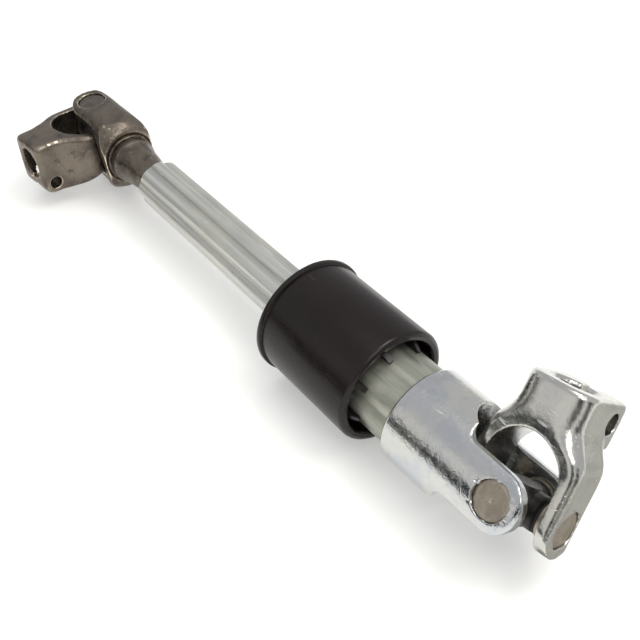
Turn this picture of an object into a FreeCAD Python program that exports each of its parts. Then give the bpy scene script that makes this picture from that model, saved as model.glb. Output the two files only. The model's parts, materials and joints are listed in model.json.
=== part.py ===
import FreeCAD, Part
import math
import os

# Telescoping shaft with a universal joint at each end. Millimetres, angles in degrees.
# The origin is the centre of the sleeve on the shaft axis, +X runs along the shaft
# towards the lower joint and +Z is up. One STEP file is written for each piece.

os.makedirs("parts", exist_ok=True)
V = FreeCAD.Vector
ORIGIN, X, Y, Z = V(0, 0, 0), V(1, 0, 0), V(0, 1, 0), V(0, 0, 1)

# ---------------------------------------------------------------- dimensions
# Angles in the YZ plane run from +Y towards +Z.
REACH = 30.0                 # half length of the cutting prisms, past any surface
# sleeve
SLEEVE_HALF = 28.3           # half length
SLEEVE_R = 26.5
SLEEVE_RIM_R = 27.7          # bead at the upper end
SLEEVE_WALL = 4.2
SLEEVE_INNER_R = SLEEVE_R - SLEEVE_WALL
SLEEVE_HOLE_R = 16.0         # hole in the upper end wall, filled by the wiper
SLEEVE_FLOOR_X = -SLEEVE_HALF + 3.0
RIB_COUNT = 8
RIB_T = 2.2
RIB_PHASE = 101.4
RIB_CLEARANCE = 0.03         # between the ribs and the fluted neck
# flutes, each as (crest radius, groove radius, groove arc radius)
FLUTES = 8
GROOVE_PHASE = 112.3         # centre line of one groove
INNER_FLUTES = (12.6, 11.0, 1.9)
BORE_FLUTES = (15.8, 14.5, 2.0)
NECK_FLUTES = (18.8, 17.7, 2.6)
INNER_CREST_R = INNER_FLUTES[0]
NECK_CREST_R = NECK_FLUTES[0]
RUNNING_GAP = 0.06           # radial clearance of the slide
# tubes and liner
INNER_X0, INNER_X1 = -160.9, 20.0
INNER_BORE_R = 8.1
LINER_X0, LINER_X1 = -22.0, 30.0
OUTER_X0, OUTER_X1 = -23.8, 62.5
NECK_X0 = 20.0               # start of the fluted neck, inside the sleeve
COLLAR_X0 = 45.4             # start of the lower tube yoke's collar
OUTER_SEAT_R = 17.0          # round seat under the sleeve ribs
OUTER_SPIGOT_R = 17.4        # round spigot in the collar
# joints
LOWER_X, UPPER_X = 97.0, -226.8        # cross centres on the shaft axis
LOWER_ARM_ANGLE = 143.0      # arms of the lower tube yoke in the YZ plane
UPPER_ARM_ANGLE = 97.0       # arms of the upper shaft yoke in the YZ plane
LOWER_FOLD = 98.0            # fold of the lower clamp yoke from straight
UPPER_FOLD = 96.0            # fold of the upper clamp yoke from straight
UPPER_TILT = 5.0             # turn of the upper clamp yoke about its own arms
# cross, cups, needles and seals; lengths are measured from the cross centre
TRUNNION_R = 4.5
TRUNNION_END = 18.15
BOSS_R = 7.0
BOSS_END = 10.9
CUP_R = 7.5
CUP_BORE_R = 6.55
CUP_MOUTH = 12.2
CUP_FLOOR = 18.25
CUP_FACE = 19.7
CUP_CHAMFER = 1.15
NEEDLE_R = 1.0
NEEDLE_PITCH_R = 5.515
NEEDLE_COUNT = 16
NEEDLE_START, NEEDLE_END = 12.8, 17.55
SEAL_R = 7.1
SEAL_END = CUP_MOUTH - 0.05
STAKE_COUNT = 6              # marks round each cup bore
# lower tube yoke
COLLAR_R = 21.5
LOWER_ARM_HALF_W = 11.4
LOWER_GAP_HALF = 14.4        # half gap between the arms
LOWER_GAP_CORNER_R = 12.0
LOWER_THROAT_X = 67.4        # bottom of the gap
LOWER_FLATS_X = 75.0         # start of the arms' side flats
LOWER_FLATS_R = 5.0          # run-out radius of the flats
LOWER_STAKE_FACE = 21.0      # height of the staking dents along the arms
# upper shaft yoke; depths are measured from the cross centre
UPPER_ARM_HALF_W = 11.0
UPPER_ARM_OUT = 20.5
UPPER_GAP_HALF = 14.4
UPPER_GAP_CORNER_R = 11.0
UPPER_THROAT = 26.2          # depth of the gap
UPPER_BASE = 38.6            # depth of the base
# clamp yokes
CORNER_STEPS = 5             # steps round each corner of the outline
CORNER_FLAT = 0.35           # share by which a corner is pulled back to a straight bevel
LOFT_STEP = 1.6
CLAMP_ARM_OUT = 20.5
CLAMP_GAP_HALF = 14.8
CLAMP_GAP_DEPTH = 12.6       # depth of the gap's straight sides
CLAMP_ARM_HALF_W = 11.2
CLAMP_BORE_R = 7.9
SERRATIONS = 24
SERRATION_DEPTH = 0.6
SERRATION_HALF_W = 0.55      # at the root side; narrows to the tip
SERRATION_TIP_HALF_W = 0.12
SLIT_W = 2.6
BOLT_PLAIN_R = 4.3
BOLT_TAP_R = 3.4


# ---------------------------------------------------------------- vectors and frames
def polar(x, radius, angle):
    rad = math.radians(angle)
    return V(x, radius * math.cos(rad), radius * math.sin(rad))


def combine(*terms):
    """Sum of (factor, vector) terms."""
    total = V(0, 0, 0)
    for factor, vec in terms:
        total = total.add(V(vec.x * factor, vec.y * factor, vec.z * factor))
    return total


def turn(angle, start, towards):
    """Unit vector `start` turned through `angle` towards the perpendicular `towards`."""
    rad = math.radians(angle)
    return combine((math.cos(rad), start), (math.sin(rad), towards))


def frame(origin, ax, ay, az):
    return FreeCAD.Matrix(ax.x, ay.x, az.x, origin.x,
                          ax.y, ay.y, az.y, origin.y,
                          ax.z, ay.z, az.z, origin.z,
                          0, 0, 0, 1)


def placed(shape, matrix):
    moved = shape.copy()
    moved.Placement = FreeCAD.Placement(matrix).multiply(moved.Placement)
    return moved


LOWER_CENTRE = V(LOWER_X, 0, 0)
LOWER_ARM = polar(0, 1, LOWER_ARM_ANGLE)
LOWER_SIDE = X.cross(LOWER_ARM)
LOWER_CLAMP_ARM = turn(LOWER_FOLD, LOWER_SIDE, X)
LOWER_HUB = turn(-LOWER_FOLD, X, LOWER_SIDE)

UPPER_CENTRE = V(UPPER_X, 0, 0)
UPPER_ARM = polar(0, 1, UPPER_ARM_ANGLE)
UPPER_SIDE = X.cross(UPPER_ARM)
UPPER_CLAMP_ARM = turn(UPPER_FOLD, UPPER_SIDE, X)
UPPER_HUB_LEVEL = turn(UPPER_FOLD, combine((-1, X)), UPPER_SIDE)    # before the tilt
UPPER_HUB = turn(UPPER_TILT, UPPER_HUB_LEVEL, UPPER_ARM)
UPPER_CLAMP_SIDE = turn(-UPPER_TILT, UPPER_ARM, UPPER_HUB_LEVEL)


# ---------------------------------------------------------------- shape helpers
def cylinder(radius, start, direction, length):
    return Part.makeCylinder(radius, length, start, direction)


def shaft_cylinder(radius, x0, x1):
    return cylinder(radius, V(x0, 0, 0), X, x1 - x0)


def polygon(points):
    return Part.makePolygon(points + [points[0]])


def prism(points, vec):
    return Part.Face(polygon(points)).extrude(vec)


def revolve_x(points):
    """Closed outline of (x, radius) pairs turned about the shaft axis."""
    return Part.Face(polygon([V(x, 0, r) for x, r in points])).revolve(ORIGIN, X, 360)


def revolve_z(points):
    """Closed outline of (radius, z) pairs turned about Z."""
    return Part.Face(polygon([V(r, 0, z) for r, z in points])).revolve(ORIGIN, Z, 360)


def chain(points):
    """Straight edges joining the points in turn."""
    return [Part.makeLine(p, q) for p, q in zip(points, points[1:])]


def arc(start, middle, end):
    return Part.Arc(start, middle, end).toShape()


def quarter_arc(step):
    """(cos, sin) pairs from 0 to 90 degrees."""
    return [(math.cos(math.radians(t)), math.sin(math.radians(t))) for t in range(0, 91, step)]


def bezier(p0, p1, p2, steps=8):
    points = []
    for i in range(steps + 1):
        t = i / steps
        points.append(tuple((1 - t) ** 2 * a + 2 * t * (1 - t) * b + t * t * c
                            for a, b, c in zip(p0, p1, p2)))
    return points


def fluted(x0, x1, flutes, offset=0.0):
    """Prism of wide convex lobes and narrow concave grooves, joined as tangent arcs."""
    crest_r, groove_r, arc_r = flutes
    groove_centre_r = groove_r + arc_r
    pitch = 360.0 / FLUTES
    cos_half = math.cos(math.radians(pitch / 2))
    # tangency: the lobe and groove centres are lobe_r + arc_r apart
    lobe_r = ((crest_r ** 2 + groove_centre_r ** 2
               - 2 * crest_r * groove_centre_r * cos_half - arc_r ** 2)
              / (2 * arc_r + 2 * crest_r - 2 * groove_centre_r * cos_half))

    def groove_angle(k):
        return GROOVE_PHASE + k * pitch

    def tangent_point(lobe, groove):
        lobe_centre = polar(x0, crest_r - lobe_r, groove_angle(lobe + 0.5))
        direction = polar(x0, groove_centre_r, groove_angle(groove)).sub(lobe_centre)
        direction.normalize()
        return lobe_centre.add(direction.multiply(lobe_r + offset))

    edges = []
    for k in range(FLUTES):
        start = tangent_point(k - 1, k)
        middle = tangent_point(k, k)
        end = tangent_point(k, k + 1)
        edges.append(arc(start, polar(x0, groove_r + offset, groove_angle(k)), middle))
        edges.append(arc(middle, polar(x0, crest_r + offset, groove_angle(k + 0.5)), end))
    wire = Part.Wire(Part.__sortEdges__(edges))
    return Part.Face(wire).extrude(V(x1 - x0, 0, 0))


def try_fillet(shape, radius, edges):
    # guards against edges the kernel cannot round; None means it failed
    try:
        rounded = shape.makeFillet(radius, edges)
        if rounded.isValid() and rounded.Volume > 0:
            return rounded
    except Exception:
        pass
    return None


def edge_middle(edge):
    return edge.valueAt((edge.FirstParameter + edge.LastParameter) / 2)


def round_edges(shape, radius, wanted):
    """Rounds the wanted edges together, or one by one if that fails."""
    edges = [e for e in shape.Edges if wanted(e)]
    if not edges:
        return shape
    rounded = try_fillet(shape, radius, edges)
    if rounded is not None:
        return rounded
    for middle in [edge_middle(e) for e in edges]:
        matches = [e for e in shape.Edges if edge_middle(e).sub(middle).Length < 0.01]
        if not matches:
            continue
        rounded = try_fillet(shape, radius, [matches[-1]])
        if rounded is not None:
            shape = rounded
    return shape


def save(name, shape):
    if shape.ShapeType != "Compound":
        shape = shape.removeSplitter()
    if shape.ShapeType == "Compound" and len(shape.Solids) == 1:
        shape = shape.Solids[0]
    assert shape.isValid(), name
    for solid in shape.Solids:
        assert solid.isClosed() and solid.Volume > 0, name
    shape.exportStep("parts/%s.step" % name)


# ---------------------------------------------------------------- sleeve
def make_sleeve():
    x0, x1 = -SLEEVE_HALF, SLEEVE_HALF
    rim, outer, inner = SLEEVE_RIM_R, SLEEVE_R, SLEEVE_INNER_R
    body = revolve_x([
        (x0, SLEEVE_HOLE_R), (x0, rim - 0.7), (x0 + 0.25, rim - 0.2), (x0 + 0.7, rim),
        (x0 + 2.1, rim), (x0 + 2.6, rim - 0.2), (x0 + 3.0, outer),
        (x1 - 1.9, outer), (x1 - 1.1, outer - 0.25), (x1 - 0.4, outer - 0.9),
        (x1, outer - 1.9), (x1 - 0.2, inner + 0.7), (x1 - 1.2, inner),
        (SLEEVE_FLOOR_X, inner), (SLEEVE_FLOOR_X, SLEEVE_HOLE_R)])
    # rib outline as (x, radius); its tip stands a little past the open end
    rib_outline = [
        (x0 + 2.5, OUTER_SEAT_R - 1.0), (x1 + 2.4, OUTER_SEAT_R - 1.0),
        (x1 + 2.4, NECK_CREST_R + 0.6), (x1 - 2.2, inner - 0.6),
        (x1 - 3.0, inner + 0.5), (x0 + 2.5, inner + 0.5)]
    for k in range(RIB_COUNT):
        rib = prism([V(x, -RIB_T / 2, r) for x, r in rib_outline], V(0, RIB_T, 0))
        rib.rotate(ORIGIN, X, RIB_PHASE + k * 360.0 / RIB_COUNT - 90)
        body = body.fuse(rib)
    # the ribs seat on the round of the outer tube, then step up over its fluted neck
    body = body.cut(shaft_cylinder(OUTER_SEAT_R, SLEEVE_FLOOR_X, x1 + 5))
    return body.cut(shaft_cylinder(NECK_CREST_R + RIB_CLEARANCE, NECK_X0 - 0.5, x1 + 5))


def make_wiper():
    x0 = -SLEEVE_HALF
    ring = revolve_x([
        (x0 - 1.6, 10), (x0 - 1.6, 14.6), (x0, SLEEVE_HOLE_R), (SLEEVE_FLOOR_X, SLEEVE_HOLE_R),
        (SLEEVE_FLOOR_X, 16.9), (x0 + 4.5, 16.9), (x0 + 4.5, 10)])
    return ring.cut(fluted(x0 - 5, x0 + 10, INNER_FLUTES, RUNNING_GAP))


# ---------------------------------------------------------------- tubes
def make_inner_tube():
    tube = fluted(INNER_X0, INNER_X1, INNER_FLUTES)
    # bevels both ends
    envelope = revolve_x([
        (INNER_X0, 0), (INNER_X0, 10.7), (INNER_X0 + 2.0, INNER_CREST_R + 0.1),
        (INNER_X1 - 1.2, INNER_CREST_R + 0.1), (INNER_X1, 11.4), (INNER_X1, 0)])
    tube = tube.common(envelope)
    return tube.cut(shaft_cylinder(INNER_BORE_R, INNER_X0 - 1, INNER_X1 + 1))


def make_liner():
    liner = fluted(LINER_X0, LINER_X1, BORE_FLUTES)
    return liner.cut(fluted(LINER_X0 - 1, LINER_X1 + 1, INNER_FLUTES, RUNNING_GAP))


def make_outer_tube():
    neck = fluted(NECK_X0, COLLAR_X0, NECK_FLUTES)
    envelope = revolve_x([
        (NECK_X0, 0), (NECK_X0, OUTER_SEAT_R), (NECK_X0 + 1.6, NECK_CREST_R + 0.05),
        (COLLAR_X0, NECK_CREST_R + 0.05), (COLLAR_X0, 0)])
    tube = neck.common(envelope)
    tube = tube.fuse(shaft_cylinder(OUTER_SEAT_R, OUTER_X0, NECK_X0))
    tube = tube.fuse(shaft_cylinder(OUTER_SPIGOT_R, COLLAR_X0, OUTER_X1))
    return tube.cut(fluted(OUTER_X0 - 1, OUTER_X1 + 1, BORE_FLUTES))


# ---------------------------------------------------------------- features of the yokes
def stake(yoke, centre, out, first, second, face, phase):
    """Staking marks round the cup bore that faces `out`.

    `first` and `second` span the plane of the mark circle. Each mark is a dent in the
    face and the metal pushed from it over the cup's bevelled edge.
    """
    radials = [turn(phase + k * 360.0 / STAKE_COUNT, first, second)
               for k in range(STAKE_COUNT)]
    for radial in radials:
        along = radial.cross(out)
        start = centre.add(combine((CUP_FACE + 0.03, out), (CUP_R - 0.55, radial)))
        # lug outline as (along, radial)
        outline = [(-0.6, 0), (0.6, 0), (1.1, 1.0), (-1.1, 1.0)]
        lug = prism([start.add(combine((a, along), (r, radial))) for a, r in outline],
                    combine((0.45, out)))
        yoke = yoke.fuse(lug)
    for radial in radials:
        along = radial.cross(out)
        start = centre.add(combine((face + 0.25, out), (CUP_R + 0.95, radial), (-0.9, along)))
        yoke = yoke.cut(cylinder(0.75, start, along, 1.8))
    return yoke


def bore_and_stake(yoke, centre, arm, first, second, face, phase):
    for sign in (1, -1):
        out = combine((sign, arm))
        yoke = yoke.cut(cylinder(CUP_R, centre.add(combine((10, out))), out, 15))
        yoke = stake(yoke, centre, out, first, second, face, phase)
    return yoke


def arm_gap(mouth_x, throat_x, half, radius, arm, side):
    """Cutter for the gap between two arms, with large radii at its bottom."""
    sign = 1 if mouth_x > throat_x else -1
    bend_x = throat_x + sign * radius
    middle_x = bend_x - sign * radius * math.sqrt(0.5)
    middle = half - radius + radius * math.sqrt(0.5)

    def at(x, across):
        return combine((x, X), (across, arm), (-REACH, side))

    edges = [
        Part.makeLine(at(mouth_x, -half), at(bend_x, -half)),
        arc(at(bend_x, -half), at(middle_x, -middle), at(throat_x, -half + radius)),
        Part.makeLine(at(throat_x, -half + radius), at(throat_x, half - radius)),
        arc(at(throat_x, half - radius), at(middle_x, middle), at(bend_x, half)),
        Part.makeLine(at(bend_x, half), at(mouth_x, half)),
        Part.makeLine(at(mouth_x, half), at(mouth_x, -half))]
    return Part.Face(Part.Wire(edges)).extrude(combine((2 * REACH, side)))


# ---------------------------------------------------------------- lower tube yoke
def make_lower_tube_yoke():
    half_w = LOWER_ARM_HALF_W
    tip = LOWER_X + half_w
    through = combine((2 * REACH, LOWER_ARM))

    def at(x, side):
        return combine((x, X), (side, LOWER_SIDE), (-REACH, LOWER_ARM))

    # turned blank
    yoke = revolve_x([
        (COLLAR_X0, 0), (COLLAR_X0, COLLAR_R - 1.0), (COLLAR_X0 + 1.0, COLLAR_R),
        (tip - 5.0, COLLAR_R), (tip - 3.2, COLLAR_R - 0.35), (tip - 1.6, COLLAR_R - 1.3),
        (tip - 0.5, COLLAR_R - 2.6), (tip, COLLAR_R - 4.2), (tip, 0)])
    # side flats of the arms, with a rounded run-out into the collar
    run_out = [(LOWER_FLATS_X + LOWER_FLATS_R * (1 - c), half_w + LOWER_FLATS_R * (1 - s))
               for c, s in quarter_arc(15)]
    outline = [(LOWER_FLATS_X, REACH)] + run_out + [(tip + 5, half_w), (tip + 5, REACH)]
    for sign in (1, -1):
        yoke = yoke.cut(prism([at(x, sign * side) for x, side in outline], through))
    # rounded arm tips; the cutter is wider than the arms so that it clears the flats
    far, wide = tip + 6, half_w + 3
    edges = [arc(at(LOWER_X, -half_w), at(tip, 0), at(LOWER_X, half_w))]
    edges += chain([at(LOWER_X, half_w), at(LOWER_X, wide), at(far, wide),
                    at(far, -wide), at(LOWER_X, -wide), at(LOWER_X, -half_w)])
    yoke = yoke.cut(Part.Face(Part.Wire(edges)).extrude(through))
    yoke = yoke.cut(arm_gap(tip + 5, LOWER_THROAT_X, LOWER_GAP_HALF, LOWER_GAP_CORNER_R,
                            LOWER_ARM, LOWER_SIDE))
    # socket for the outer tube
    yoke = yoke.cut(shaft_cylinder(OUTER_SPIGOT_R, COLLAR_X0 - 1, OUTER_X1))
    # soften the longer edges beyond the throat
    yoke = round_edges(yoke, 0.8, lambda e: e.BoundBox.XMin > LOWER_THROAT_X - 1
                       and e.Length > 6)
    return bore_and_stake(yoke, LOWER_CENTRE, LOWER_ARM, X, LOWER_SIDE,
                          LOWER_STAKE_FACE, 18.0)


# ---------------------------------------------------------------- upper shaft yoke
def make_stem(base, throat):
    """Turned stem, with a boss at the base and a spigot in the inner tube."""
    end = INNER_X0
    return revolve_x([
        (throat - 1.0, 0), (throat - 1.0, 11.0), (base - 4.0, 11.6), (base - 3.2, 11.7),
        (base - 2.6, 12.0), (base - 2.2, 12.35), (base + 1.9, 12.35), (base + 2.5, 12.15),
        (base + 3.1, 11.7), (base + 4.6, 11.3), (base + 10.0, 10.5), (base + 15.0, 9.9),
        (end - 8.0, 9.2), (end - 4.0, 8.6), (end, INNER_BORE_R),
        (end + 34, INNER_BORE_R), (end + 35, 7.2), (end + 35, 0)])


def make_upper_shaft_yoke():
    base = UPPER_X + UPPER_BASE
    throat = UPPER_X + UPPER_THROAT
    back = base - 3.4            # back of the arms' base, behind the boss
    half_w = UPPER_ARM_HALF_W
    tip = UPPER_X - half_w - 1
    out = UPPER_ARM_OUT

    def at(x, arm, side):
        return combine((x, X), (arm, UPPER_ARM), (side, UPPER_SIDE))

    stem = make_stem(base, throat)
    # the base and arms are the common part of three outlines and a turned envelope
    # outline in (x, arm)
    half = [(tip, out)] + bezier((UPPER_X + 27, out), (UPPER_X + 32, out),
                                 (UPPER_X + 34.4, 16.8))
    half += [(back, 16.0), (back, 11.0)]
    outline = half + [(x, -arm) for x, arm in reversed(half)]
    arm_block = prism([at(x, arm, -REACH) for x, arm in outline],
                      combine((2 * REACH, UPPER_SIDE)))
    # outline in (x, side): rounded tips, then the base widens a little
    half = bezier((UPPER_X + 12, half_w), (UPPER_X + 20, half_w), (UPPER_X + 25, 12.6))
    half += bezier((UPPER_X + 25, 12.6), (UPPER_X + 33, 14.8), (back, 14.2))[1:]
    half += [(back, 11.0)]
    tip_arc = [(UPPER_X - half_w * math.sin(math.radians(t)),
                half_w * math.cos(math.radians(t))) for t in range(0, 181, 10)]
    outline = half[::-1] + tip_arc + [(x, -side) for x, side in half]
    side_block = prism([at(x, -REACH, side) for x, side in outline],
                       combine((2 * REACH, UPPER_ARM)))
    # outline in (arm, side), mirrored from one quarter
    quarter = [(out, 7.0), (19.6, 9.0), (17.6, 11.2), (14.4, 13.2), (8.0, 14.9)]
    outline = [(out, -7.0)] + quarter + [(0, 15.4)]
    outline += [(-a, s) for a, s in reversed(quarter)] + [(-a, -s) for a, s in quarter]
    outline += [(0, -15.4)] + [(a, -s) for a, s in reversed(quarter[1:])]
    end_block = prism([at(tip - 2, arm, side) for arm, side in outline],
                      V(UPPER_BASE + 20, 0, 0))
    envelope = revolve_x([
        (tip - 5, 0), (tip - 5, 30), (UPPER_X + 22, 24.5), (UPPER_X + 28.6, 21.0),
        (UPPER_X + 31.6, 19.2), (UPPER_X + 33.6, 17.6), (UPPER_X + 34.9, 15.8),
        (back, 14.6), (base - 4.2, 13.4), (base - 4.4, 12.9), (base - 4.2, 12.2),
        (back, 11.6), (back, 0)])
    body = arm_block.common(side_block).common(end_block).common(envelope)
    gap = arm_gap(tip - 5, throat, UPPER_GAP_HALF, UPPER_GAP_CORNER_R, UPPER_ARM, UPPER_SIDE)
    yoke = body.fuse(stem).cut(gap)
    return bore_and_stake(yoke, UPPER_CENTRE, UPPER_ARM, X, UPPER_SIDE, out, 30.0)


# ---------------------------------------------------------------- clamp yokes
# Local frame: a (x) along the arms, b (y) along the other cross axis, h (z) along the
# hub, from the cross centre. The slit is on the -b side.
# Outline columns: h, arm face a, its upper b, top flat half width, top b,
# its lower -b, bottom flat half width, bottom -b
LOWER_SECTIONS = [
    (-13.0, 20.5, 6.4, 17.2, 11.2, 6.4, 17.2, 11.2),
    (0.0, 20.5, 6.4, 17.2, 11.2, 6.4, 17.2, 11.2),
    (11.0, 20.5, 6.4, 17.2, 11.2, 6.4, 17.2, 11.2),
    (17.0, 20.5, 6.5, 17.0, 11.4, 6.5, 17.2, 11.3),
    (21.5, 20.1, 6.9, 15.9, 12.2, 6.9, 16.6, 11.8),
    (25.5, 18.2, 7.5, 13.0, 13.2, 7.5, 15.2, 12.4),
    (29.0, 15.8, 7.6, 9.2, 14.0, 8.0, 13.4, 12.8),
    (33.0, 14.0, 7.4, 6.4, 14.5, 8.4, 12.2, 13.0),
    (37.0, 13.6, 7.2, 5.6, 14.6, 8.6, 11.8, 13.0),
    (45.0, 13.6, 7.2, 5.6, 14.6, 8.6, 11.8, 13.0)]
UPPER_SECTIONS = [
    (-13.0, 20.5, 8.0, 18.2, 11.0, 8.0, 18.2, 11.0),
    (0.0, 20.5, 8.0, 18.2, 11.0, 8.0, 18.2, 11.0),
    (8.0, 20.5, 8.0, 18.2, 11.0, 8.4, 18.2, 11.2),
    (13.0, 20.4, 8.3, 17.9, 11.2, 9.6, 17.9, 12.6),
    (18.0, 19.6, 8.9, 16.8, 11.8, 11.8, 16.8, 14.9),
    (23.0, 17.4, 9.6, 14.2, 12.5, 13.6, 14.6, 16.6),
    (28.0, 14.4, 10.3, 11.2, 13.0, 14.6, 12.0, 17.4),
    (33.0, 12.3, 10.8, 9.4, 13.2, 15.0, 10.2, 17.7),
    (38.0, 11.6, 10.8, 8.8, 13.2, 15.0, 9.6, 17.7),
    (43.6, 11.6, 10.8, 8.8, 13.2, 15.0, 9.6, 17.7)]
# share of the end rounding taken off each column after h
END_SHRINK = (1.0, 0.4, 0.6, 1.0, 0.4, 0.6, 1.0)


def corner_points(flat_a, flat_b, face_a, face_b):
    """Points strictly between the end of a flat and the edge of the arm face."""
    points = []
    for i in range(1, CORNER_STEPS):
        share = i / CORNER_STEPS
        t = math.pi / 2 * share
        # a quarter ellipse, pulled part of the way back to the straight bevel
        round_a = flat_a + (face_a - flat_a) * math.sin(t)
        round_b = face_b + (flat_b - face_b) * math.cos(t)
        bevel_a = flat_a + (face_a - flat_a) * share
        bevel_b = flat_b + (face_b - flat_b) * share
        points.append((round_a + (bevel_a - round_a) * CORNER_FLAT,
                       round_b + (bevel_b - round_b) * CORNER_FLAT))
    return points


def section(h, face_a, face_top, top_a, top_b, face_bottom, bottom_a, bottom_b):
    right = [(top_a, top_b)] + corner_points(top_a, top_b, face_a, face_top)
    right += [(face_a, face_top), (face_a, -face_bottom)]
    right += corner_points(bottom_a, -bottom_b, face_a, -face_bottom)[::-1]
    right += [(bottom_a, -bottom_b)]
    left = [(-a, b) for a, b in reversed(right)]
    return polygon([V(a, b, h) for a, b in right + left])


def column_slopes(heights, values):
    """Slopes for a monotone cubic: harmonic means, zero at a turning point."""
    steps = [(values[i + 1] - values[i]) / (heights[i + 1] - heights[i])
             for i in range(len(values) - 1)]
    inner = [0.0 if p * q <= 0 else 2 * p * q / (p + q) for p, q in zip(steps, steps[1:])]
    return [steps[0]] + inner + [steps[-1]]


def smooth_sections(rows):
    """Monotone cubic interpolation of each column over h."""
    heights, *columns = zip(*rows)
    curves = [(values, column_slopes(heights, values)) for values in columns]
    smooth = []
    for i in range(len(rows) - 1):
        span = heights[i + 1] - heights[i]
        flat = all(abs(y[i + 1] - y[i]) < 1e-9 for y in columns)
        count = 1 if flat else round(span / LOFT_STEP)
        for j in range(count):
            t = j / count
            row = [heights[i] + t * span]
            for y, slope in curves:
                row.append((2 * t ** 3 - 3 * t * t + 1) * y[i]
                           + (t ** 3 - 2 * t * t + t) * span * slope[i]
                           + (3 * t * t - 2 * t ** 3) * y[i + 1]
                           + (t ** 3 - t * t) * span * slope[i + 1])
            smooth.append(row)
    smooth.append(rows[-1])
    return smooth


def loft(rows):
    return Part.makeLoft([section(*row) for row in rows], True, True)


def rounded_end(last, radius):
    """Rows that carry the last outline round the end of the hub."""
    steps = round(radius / 0.5)
    rows = []
    for i in range(steps + 1):
        t = math.pi / 2 * i / steps
        inset = radius * (1 - math.cos(t))
        rows.append([last[0] + radius * math.sin(t)]
                    + [value - share * inset for value, share in zip(last[1:], END_SHRINK)])
    return rows


def make_lug(half_a, bottom_b, start_h, hub_end):
    """Block under the hub on the -b side, rounded on its free edges."""
    lug = Part.makeBox(2 * half_a, -5 - bottom_b, hub_end - start_h,
                       V(-half_a, bottom_b, start_h))

    def crosswise(box):
        return box.XLength > half_a and box.YMax < bottom_b + 0.01

    lug = round_edges(lug, 3.6, lambda e: crosswise(e.BoundBox)
                      and e.BoundBox.ZMin > hub_end - 0.01)
    lug = round_edges(lug, 2.6, lambda e: crosswise(e.BoundBox)
                      and e.BoundBox.ZMax < start_h + 0.01)
    lug = round_edges(lug, 1.6, lambda e: e.BoundBox.XLength < 0.01
                      and e.BoundBox.YMax < bottom_b + 8.0
                      and e.BoundBox.YMin < bottom_b + 3.7)
    return round_edges(lug, 0.9, lambda e: e.BoundBox.XLength < 0.01
                       and e.BoundBox.ZMin > hub_end - 0.01)


def hub_corner(bottom_b, radius, hub_end):
    """Cutter that rounds the -b corner at the hub's end."""
    outline = [(bottom_b + radius * (1 - c), hub_end - radius * (1 - s))
               for c, s in quarter_arc(10)]
    outline += [(bottom_b + radius, hub_end + 5), (bottom_b - 5, hub_end + 5),
                (bottom_b - 5, hub_end - radius)]
    return prism([V(-REACH, b, h) for b, h in outline], V(2 * REACH, 0, 0))


def clamp_tips():
    """Cutter that rounds the arm tips about the cup axis."""
    outline = [(CLAMP_ARM_HALF_W * math.cos(math.radians(t)),
                CLAMP_ARM_HALF_W * math.sin(math.radians(t))) for t in range(180, 361, 6)]
    outline += [(REACH, 0), (REACH, -40), (-REACH, -40), (-REACH, 0)]
    return prism([V(-REACH, b, h) for b, h in outline], V(2 * REACH, 0, 0))


def clamp_gap():
    """Cutter for the gap between the arms, with an arched bottom."""
    half, depth = CLAMP_GAP_HALF, CLAMP_GAP_DEPTH
    mouth = -CLAMP_ARM_HALF_W - 5
    right_mouth, right_bend = V(half, -REACH, mouth), V(half, -REACH, depth)
    left_bend, left_mouth = V(-half, -REACH, depth), V(-half, -REACH, mouth)
    edges = [Part.makeLine(right_mouth, right_bend),
             arc(right_bend, V(0, -REACH, depth + half - 0.4), left_bend)]
    edges += chain([left_bend, left_mouth, right_mouth])
    return Part.Face(Part.Wire(edges)).extrude(V(0, 2 * REACH, 0))


def serrations():
    root, tip = CLAMP_BORE_R - 0.4, CLAMP_BORE_R + SERRATION_DEPTH
    outline = [(root, -SERRATION_HALF_W), (tip, -SERRATION_TIP_HALF_W),
               (tip, SERRATION_TIP_HALF_W), (root, SERRATION_HALF_W)]
    teeth = []
    for i in range(SERRATIONS):
        tooth = prism([V(a, b, 22) for a, b in outline], V(0, 0, 40))
        tooth.rotate(ORIGIN, Z, (i + 0.5) * 360.0 / SERRATIONS)
        teeth.append(tooth)
    return teeth[0].multiFuse(teeth[1:])


def make_clamp_yoke(sections, end_r, bolt_b, bolt_h, lug=None, corner=None):
    """lug is (half width, bottom b, start h); corner is (bottom b, radius)."""
    hub_end = sections[-1][0] + end_r
    yoke = loft(smooth_sections(sections))
    yoke = yoke.fuse(loft(rounded_end(sections[-1], end_r)))
    if lug is not None:
        yoke = yoke.fuse(make_lug(*lug, hub_end))
    if corner is not None:
        yoke = yoke.cut(hub_corner(*corner, hub_end))
    yoke = yoke.cut(clamp_tips())
    yoke = yoke.cut(clamp_gap())
    yoke = bore_and_stake(yoke, ORIGIN, X, Z, Y, CLAMP_ARM_OUT, 15.0)
    # serrated clamp bore, slit and bevelled mouth
    yoke = yoke.cut(Part.makeCylinder(CLAMP_BORE_R, 40, V(0, 0, 20)))
    yoke = yoke.cut(serrations())
    yoke = yoke.cut(Part.makeBox(SLIT_W, 30, 50, V(-SLIT_W / 2, -30, 15)))
    yoke = yoke.cut(Part.makeCone(CLAMP_BORE_R - 0.2, CLAMP_BORE_R + 1.1, 1.3,
                                  V(0, 0, hub_end - 1.3)))
    # pinch bolt: plain hole on the -a side of the slit, tapped on the +a side
    bolt = V(0, bolt_b, bolt_h)
    yoke = yoke.cut(cylinder(BOLT_PLAIN_R, bolt, V(-1, 0, 0), 40))
    return yoke.cut(cylinder(BOLT_TAP_R, bolt, X, 40))


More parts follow.
